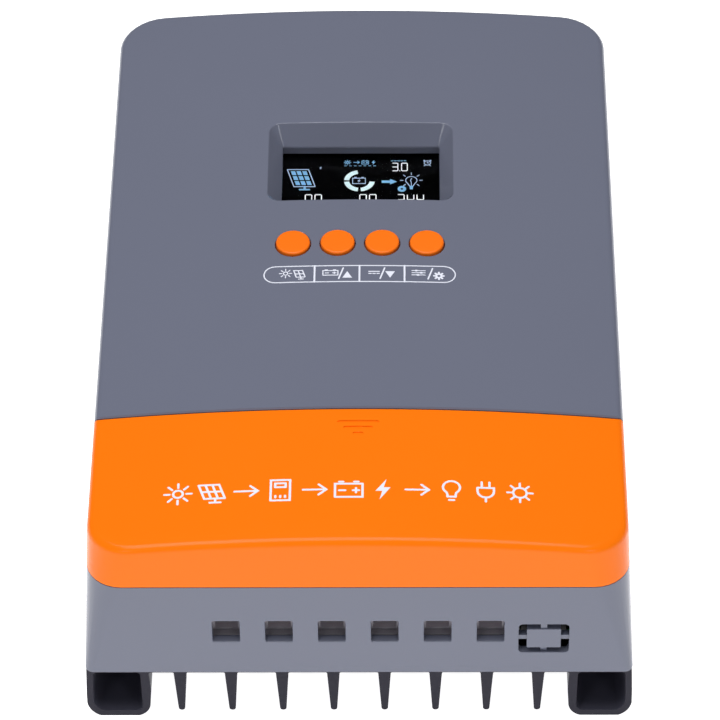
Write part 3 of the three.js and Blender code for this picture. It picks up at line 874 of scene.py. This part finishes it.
def capacitor(i, x, y):
    """A can in a shrink sleeve, crimped near its foot, with a scored aluminium top."""
    foot = [(7.9, 39.9), (9, 40.5), (9, 42.4), (8.4, 43.1), (9, 43.8)]
    rim = [(9, 62.2), (8.1, 62.8), (7.3, 62.35), (0.4, 62.35)]
    can = turned(f"capacitor_{i}_can", foot + rim, x, y, 40, [0, 0.3, 0.4, 0.5, 0.4, 0.5, 0.2, 0.1, 0])
    dress(can, SLEEVE, "housing", [f"capacitor_{i}"])
    top = turned(f"capacitor_{i}_top", [(7.2, 62.36), (7.2, 62.65), (0.4, 62.65)], x, y, 40, [0, 0.08, 0])
    score = [block("cut", (x - u, x + u), (y - v, y + v), (62.5, 63)) for u, v in ((5, 0.25), (0.25, 5))]
    dress(combine(top, score, "DIFFERENCE"), STEEL, "housing")


# ---------- printed and lit artwork
def arc(cx, cy, radius, start, end, steps=10):
    """Points along a circle from one angle to another, in degrees."""
    angles = [math.radians(start + (end - start) * k / steps) for k in range(steps + 1)]
    return [(cx + radius * math.cos(a), cy + radius * math.sin(a)) for a in angles]


def subdivided(points):
    """The same line with long runs split, so that it can follow the arched face."""
    line = [Vector(points[0])]
    for p in points[1:]:
        start, end = line[-1], Vector(p)
        pieces = max(1, math.ceil((end - start).length / INK_STEP))
        line += [start.lerp(end, (k + 1) / pieces) for k in range(pieces)]
    return line


def stroke(points, width):
    """The outline of a line of even width with round ends."""
    line = subdivided(points)
    half = width / 2
    left, right = [], []
    for i, p in enumerate(line):
        before = (p - line[i - 1] if i else line[1] - p).normalized()
        after = (line[i + 1] - p).normalized() if i + 1 < len(line) else before
        along = (before + after).normalized()
        across = Vector((-along.y, along.x))
        reach = half / max(0.6, along.dot(after))
        left.append(tuple(p + across * reach))
        right.append(tuple(p - across * reach))
    first, last = line[0] - line[1], line[-1] - line[-2]
    end = math.degrees(math.atan2(last.y, last.x))
    start = math.degrees(math.atan2(first.y, first.x))
    far = arc(*line[-1], half, end + 90, end - 90, 6)[1:-1]
    near = arc(*line[0], half, start + 90, start - 90, 6)[1:-1]
    return left + far + right[::-1] + near


def closed(points, width):
    """Strokes that run all the way round."""
    middle = len(points) // 2
    return [stroke(points[: middle + 1], width), stroke(points[middle:] + points[:1], width)]


def artwork(name, outlines, material, surface, body, lift=INK_LIFT):
    """A thin layer in the shape of all the outlines together, on a surface that gives a height at an x."""
    flat, loops = [], []
    for outline in outlines:
        turn = sum(a[0] * b[1] - b[0] * a[1] for a, b in zip(outline, outline[1:] + outline[:1]))
        loops.append(list(range(len(flat), len(flat) + len(outline))))
        flat += [Vector(p) for p in (outline if turn > 0 else outline[::-1])]
    made = delaunay_2d_cdt(flat, [], loops, 0, CDT_EPSILON, True)
    inside = [face for face, origin in zip(made[2], made[5]) if origin]
    used = sorted({i for face in inside for i in face})
    order = {i: k for k, i in enumerate(used)}
    count = len(used)
    top = [tuple(order[i] for i in face) for face in inside]
    edges = {(a, b) for face in top for a, b in zip(face, face[1:] + face[:1])}
    faces = [*top, *[tuple(i + count for i in face[::-1]) for face in top]]
    faces += [(b, a, a + count, b + count) for a, b in sorted(edges) if (b, a) not in edges]
    places = [made[0][i] for i in used]
    points = [(p.x, p.y, surface(p.x) + lift - drop) for drop in (0, INK_DEPTH) for p in places]
    return make(name, points, faces, material, body)


def spokes(cx, cy, inner, outer, angles):
    """Short lines that point away from a centre."""
    return [[arc(cx, cy, r, a, a, 1)[0] for r in (inner, outer)] for a in angles]


# Each pictogram is (open lines, closed lines, filled shapes) in a square from -1 to 1.
def sun():
    return spokes(0, 0, 0.62, 1.0, range(0, 360, 45)), [arc(0, 0, 0.36, 0, 330, 11)], []


def panel(columns=3, rows=2):
    def at(u, v):
        return (-1 + 1.5 * u + 0.45 * v, 0.75 - 1.35 * v)

    lines = [[at(k / columns, 0), at(k / columns, 1)] for k in range(1, columns)]
    lines += [[at(0, k / rows), at(1, k / rows)] for k in range(1, rows)]
    lines += [[(0.25, -0.6), (0.25, -1)], [(-0.15, -1), (0.65, -1)]]
    return lines, [[at(0, 0), at(1, 0), at(1, 1), at(0, 1)]], []


def arrow():
    return [[(-0.85, 0), (0.85, 0)], [(0.3, 0.5), (0.85, 0), (0.3, -0.5)]], [], []


MINUS_PLUS = (
    [(-0.7, -0.1), (-0.25, -0.1)],
    [(0.3, -0.1), (0.75, -0.1)],
    [(0.525, 0.12), (0.525, -0.32)],
)


def battery(signs=MINUS_PLUS):
    case = [(-1, -0.75), (1, -0.75), (1, 0.55), (-1, 0.55)]
    posts = [[(x - 0.15, 0.75), (x + 0.15, 0.75)] for x in (-0.55, 0.55)]
    return [*posts, *signs], [case], []


def bulb():
    glass = arc(0, 0.3, 0.62, 235, -55, 14)
    neck = [[(-0.3, -0.42), (-0.3, -0.62)], [(0.3, -0.42), (0.3, -0.62)]]
    base = [[(-0.3, -0.62), (0.3, -0.62)], [(-0.18, -0.95), (0.18, -0.95)]]
    return [[(-0.3, -0.42), *glass, (0.3, -0.42)], *neck, *base], [], []


def bolt():
    return [], [], [[(0.25, 1), (-0.55, -0.15), (-0.05, -0.15), (-0.25, -1), (0.55, 0.2), (0.05, 0.2)]]


def device():
    case = [(-0.7, -1), (0.7, -1), (0.7, 1), (-0.7, 1)]
    screen = [(-0.38, 0.3), (0.38, 0.3), (0.38, 0.68), (-0.38, 0.68)]
    return [[(x, -0.55), (x, -0.7)] for x in (-0.35, 0, 0.35)], [case, screen], []


def plug():
    body = [(-0.6, 0.35), (0.6, 0.35), *arc(0, 0, 0.6, 0, -180, 8)]
    return [[(-0.28, 0.9), (-0.28, 0.35)], [(0.28, 0.9), (0.28, 0.35)], [(0, -0.6), (0, -1)]], [body], []


def direct_current():
    dashes = [[(x - 0.2, -0.35), (x + 0.2, -0.35)] for x in (-0.7, 0, 0.7)]
    return [[(-0.9, 0.3), (0.9, 0.3)], *dashes], [], []


def sliders():
    rows = ((0.65, -0.35), (0, 0.4), (-0.65, -0.1))
    knobs = [arc(x, y, 0.26, 0, 315, 7) for y, x in rows]
    return [[(-1, y), (1, y)] for y, x in rows], [], knobs


def gear():
    return spokes(0, 0, 0.6, 0.92, range(0, 360, 45)), [arc(0, 0, 0.5, 0, 330, 11)], []


def clock():
    bells = [arc(x, 0.75, 0.22, 0, 315, 7) for x in (-0.72, 0.72)]
    legs = [[(-0.5, -0.75), (-0.75, -1)], [(0.5, -0.75), (0.75, -1)]]
    return [[(0, 0.4), (0, 0), (0.3, 0)], *legs], [arc(0, 0, 0.75, 0, 330, 11)], bells


def placed(pictogram, x, y, size, width, wide=1.0):
    """Outlines of a pictogram, scaled to half a size and moved to a place."""
    lines, loops, shapes = pictogram

    def at(points):
        return [(x + u * size * wide, y + v * size) for u, v in points]

    outlines = [stroke(at(line), width) for line in lines]
    for loop in loops:
        outlines += closed(at(loop), width)
    return outlines + [at(shape) for shape in shapes]


def cover_print():
    """A row of plain energy pictograms across the cover."""
    row = (sun(), panel(), arrow(), device(), arrow(), battery(), bolt(), arrow(), bulb(), plug(), gear())
    first, last, y = -61.5, 55.5, -113.6
    size, line_width = 4.7, 0.8
    outlines = []
    for k, pictogram in enumerate(row):
        x = first + (last - first) * k / (len(row) - 1)
        outlines += placed(pictogram, x, y, size, line_width)
    artwork("cover_pictograms", outlines, INK, crown, "cover")


def legend_print():
    """The outlined legend under the buttons, with a pair of pictograms for each."""
    half, low, high, width = 34.4, -12.2, -4.0, 0.45
    middle, radius = (low + high) / 2, (high - low) / 2
    pill = arc(half - radius, middle, radius, -90, 90, 12) + arc(radius - half, middle, radius, 90, 270, 12)
    outlines = closed(pill, width)
    outlines += [stroke([(x, low), (x, high)], 0.65) for x in (-16.2, -0.05, 16.15)]
    outlines += placed(sun(), -26.6, -7.6, 2.2, 0.4)
    outlines += placed(panel(2, 2), -21.6, -8.1, 2.5, 0.42, 0.85)
    outlines += placed(battery(), -10.5, -7.5, 1.8, 0.4, 1.5)
    outlines += placed(direct_current(), 5.2, -7.5, 1.6, 0.45, 1.3)
    outlines += placed(sliders(), 21.2, -7.5, 1.7, 0.36, 1.4)
    outlines += placed(gear(), 28.5, -8.9, 1.9, 0.75)
    for x in (-6.7, 8.2, 25.4):
        outlines.append(stroke([(x - 0.8, -10.6), (x + 0.8, -5.2)], 0.55))
    outlines.append([(-6.2, -10.2), (-2.7, -10.2), (-4.45, -6.9)])
    outlines.append([(9.2, -6.9), (12.7, -6.9), (10.95, -10.2)])
    artwork("button_legend", outlines, INK, crown, "housing")


SEGMENTS = {"0": "abcdef", "2": "abdeg", "3": "abcdg", "4": "bcfg"}


def digits(text, x, y, width, height, pitch, weight):
    """Seven-segment figures from a lower left corner; a point takes no room."""
    gap = weight * 0.75
    low, mid, high = y, y + height / 2, y + height
    outlines = []
    for mark in text:
        if mark == ".":
            spot = x - (pitch - width) / 2
            outlines.append(arc(spot, low, weight * 0.55, 0, 315, 7))
            continue
        end = x + width
        runs = {
            "a": [(x + gap, high), (end - gap, high)],
            "b": [(end, high - gap), (end, mid + gap)],
            "c": [(end, mid - gap), (end, low + gap)],
            "d": [(x + gap, low), (end - gap, low)],
            "e": [(x, mid - gap), (x, low + gap)],
            "f": [(x, high - gap), (x, mid + gap)],
            "g": [(x + gap, mid), (end - gap, mid)],
        }
        outlines += [stroke(runs[key], weight) for key in SEGMENTS[mark]]
        x += pitch
    return outlines


def sector(cx, cy, outer, inner, start, end):
    """A piece of a ring between two angles."""
    return arc(cx, cy, outer, start, end, 12) + arc(cx, cy, inner, end, start, 12)


def display_art():
    """What the display shows: a panel charging a battery that feeds a lamp, and figures under them."""

    def panel_at(u, v):
        return (-27.5 + 7.9 * u + 2.6 * v, 60.2 - 9.3 * v)

    cells = []
    for i in range(3):
        for j in range(3):
            u, v = 0.13 + 0.27 * i, 0.1 + 0.29 * j
            right, low = u + 0.2, v + 0.22
            cells.append([panel_at(u, v), panel_at(right, v), panel_at(right, low), panel_at(u, low)])
    stand = [stroke([(-20.9, 50.8), (-20.9, 49.7)], 0.9), stroke([(-22.7, 49.3), (-19.2, 49.3)], 0.7)]
    flow = [[(7.7, 52.9), (10.8, 52.9), (10.8, 52.1), (13.3, 53.5), (10.8, 54.9), (10.8, 54.1), (7.7, 54.1)]]
    badge = [sector(15.2, 49.6, 1.55, 0.5, start, start + 180) for start in (-90, 90)]
    lamp_base = [[(18.0, 51.2), (19.4, 51.2), (19.2, 49.4), (18.2, 49.4)]]
    title = []
    for pictogram, x in ((sun(), -5.1), (arrow(), -1.7), (battery(), 1.5), (bolt(), 4.6)):
        title += placed(pictogram, x, 64.1, 1.25, 0.26)
    title += [stroke([(x, 62.2), (x + 0.8, 62.2)], 0.22) for x in (-6.2, -4.4, -2.6, -0.8, 1.0, 2.8, 4.6)]
    label = [stroke([(x, 64.9), (x + 0.7, 64.9)], 0.28) for x in (11.2, 12.4, 13.6, 14.8, 16.0)]
    blue = cells + stand + flow + badge + lamp_base + title + label

    frame_line = closed([panel_at(0, 0), panel_at(1, 0), panel_at(1, 1), panel_at(0, 1)], 0.32)
    lamp_centre = (18.7, 54.2)
    lamp = [(18.0, 51.2), *arc(*lamp_centre, 2.1, 230, -50, 16), (19.4, 51.2)]
    rays = spokes(*lamp_centre, 3.1, 4.1, (0, 45, 90, 135, 180, -45, -135))
    filament = [(18.7, 51.4), (18.7, 53.0), (18.4, 54.2), (18.8, 55.2)]
    outline_art = frame_line + [stroke(line, 0.26) for line in (lamp, filament, *rays)]
    outline_art += placed(battery(()), -0.75, 54.2, 2.25, 0.26, 1.05) + placed(bolt(), -0.75, 54.0, 1.0, 0.2)
    outline_art += placed(bolt(), -15.1, 61.1, 0.75, 0.2) + placed(clock(), 24.7, 63.7, 1.6, 0.24)

    figures = digits("3.0", 11.6, 59.4, 2.1, 4.2, 3.5, 0.34)
    for text, x in (("0.0", -20.6), ("0.0", -0.4), ("24.4", 13.6)):
        figures += digits(text, x, 40.9, 2.4, 5.6, 3.6, 0.38)
    gauge = [sector(-0.6, 54.0, 5.7, 3.8, a, a + 78) for a in (98, 186, 276)]

    layers = (("blue", blue), ("pale", outline_art), ("white", figures), ("mint", gauge))
    for k, (tone, outlines) in enumerate(layers):
        lift = INK_LIFT + INK_DEPTH * 0.6 + 0.005 * k
        artwork(f"display_{tone}", outlines, LIT[tone], lambda x: LCD_TOP, "housing", lift)


housing()
cover()
buttons()
heatsink()
for number, place in enumerate(pole_x, 1):
    terminal_screw(number, place)
for number, place in enumerate(INDUCTOR_X, 1):
    inductor(number, place)
for number, place in enumerate(CAPACITOR_Y, 1):
    capacitor(number, CAPACITOR_X, place)
cover_print()
legend_print()
display_art()

# ---------- materials for the CAD nodes that stay


def display_black():
    shader = Shader("display_black", (0.0006, 0.0007, 0.0012), 0.3, specular=0.03)
    return shader.tint(shader.noise(200), 0.7).bump(shader.noise(3000), 0.002).material


def clear_window():
    """Clear plastic with an anti-glare finish."""
    shader = Shader("clear_window", (0.97, 0.98, 0.99), 0.05, specular=0.02)
    shader.base.inputs["Transmission Weight"].default_value = 1.0
    shader.base.inputs["IOR"].default_value = 1.05
    shader.rough(shader.noise(80), 0.02, 0.06)
    return shader.material


LCD = display_black()
GLASS = clear_window()

MATERIALS = {
    "black_anodised": ANODISED_PAINTED_LIGHT,
    "grey_housing": GREY,
    "orange_cover": ORANGE,
    "orange_button": ORANGE_CAP,
    "clear_window": GLASS,
    "display_glass": LCD,
    "white_plastic": WHITE,
    "circuit_board": BOARD,
    "grey_cable": CABLE,
    "thermal_pad": PAD,
    "black_plastic": BLACK,
    "steel": STEEL,
    "brass": NICKEL,
    "copper": COPPER,
    "ferrite": FERRITE,
    "capacitor_sleeve": SLEEVE,
}
for part in frame["record"]["subparts"]:
    paint(nodes[part["node"]].data, MATERIALS[part["material_slot"]])
# The terminal block gets the lightened plastic, painted light for what shows through the cable slots.
paint(nodes["terminal_block"].data, BLOCK_PAINTED_LIGHT)

# ---------- camera, floor and light
CAMERA_TARGET = Vector((0.007, -25.118, 63.0)) * MM
CAMERA_DISTANCE = 1.51417
CAMERA_ELEVATION = math.radians(45.4817)
CAMERA_YAW = math.radians(-0.9152)
CAMERA_ROLL = math.radians(-0.7556)
CAMERA_LENS = 209.7
CAMERA_SENSOR = 36
CAMERA_CLIP = (0.05, 50)

WORLD = 0.06
FLOOR_GLOW = 0.97
FLOOR_Z = -0.0002
FLOOR_HALF = 6.0
LIGHT_TARGET = Vector((0, 0, 0.05))
LIGHTS = (
    ("overhead", 22.9, (1.1, 1.1), (-0.12, -0.03, 1.5)),
    ("left_strip", 2.6, (0.28, 0.36), (-0.75, -1.4, 0.85)),
    ("right_strip", 2.6, (0.28, 0.36), (0.75, -1.4, 0.85)),
)


def place_camera():
    """A camera that looks at the target from the photograph's side."""
    e, yaw, roll = CAMERA_ELEVATION, CAMERA_YAW, CAMERA_ROLL
    ahead = Vector((math.sin(yaw) * math.cos(e), math.cos(yaw) * math.cos(e), -math.sin(e)))
    right = ahead.cross(Vector((0, 0, 1))).normalized()
    up = right.cross(ahead)
    right, up = right * math.cos(roll) + up * math.sin(roll), up * math.cos(roll) - right * math.sin(roll)
    data = bpy.data.cameras.new("camera")
    data.lens = CAMERA_LENS
    data.sensor_width = CAMERA_SENSOR
    data.clip_start, data.clip_end = CAMERA_CLIP
    camera = bpy.data.objects.new("camera", data)
    turn = Matrix((right, up, -ahead)).transposed().to_4x4()
    camera.matrix_world = Matrix.Translation(CAMERA_TARGET - ahead * CAMERA_DISTANCE) @ turn
    scene.collection.objects.link(camera)
    scene.camera = camera


def area_light(name, power, size, place):
    """A rectangular soft light aimed at the object."""
    data = bpy.data.lights.new(name, "AREA")
    data.shape = "RECTANGLE"
    data.size, data.size_y = size
    data.energy = power
    light = bpy.data.objects.new(name, data)
    light.location = place
    light.rotation_euler = (LIGHT_TARGET - Vector(place)).to_track_quat("-Z", "Y").to_euler()
    scene.collection.objects.link(light)


def stage():
    """A plain pale floor, an even world and the lights."""
    half = FLOOR_HALF
    mesh = bpy.data.meshes.new("floor")
    corners = [(-half, -half), (half, -half), (half, half), (-half, half)]
    mesh.from_pydata([(*corner, FLOOR_Z) for corner in corners], [], [(0, 1, 2, 3)])
    floor = bpy.data.objects.new("floor", mesh)
    paper = Shader("floor", (0.9, 0.9, 0.9), 0.8, specular=0.1)
    paper.tint(paper.noise(8), 0.985)
    paper.base.inputs["Emission Color"].default_value = (1, 1, 1, 1)
    paper.base.inputs["Emission Strength"].default_value = FLOOR_GLOW
    mesh.materials.append(paper.material)
    scene.collection.objects.link(floor)
    world = bpy.data.worlds.new("studio")
    world.use_nodes = True
    world.node_tree.nodes["Background"].inputs["Color"].default_value = (1, 1, 1, 1)
    world.node_tree.nodes["Background"].inputs["Strength"].default_value = WORLD
    scene.world = world
    for name, power, size, place in LIGHTS:
        area_light(name, power, size, place)
    scene.view_settings.view_transform = "Standard"


place_camera()
stage()
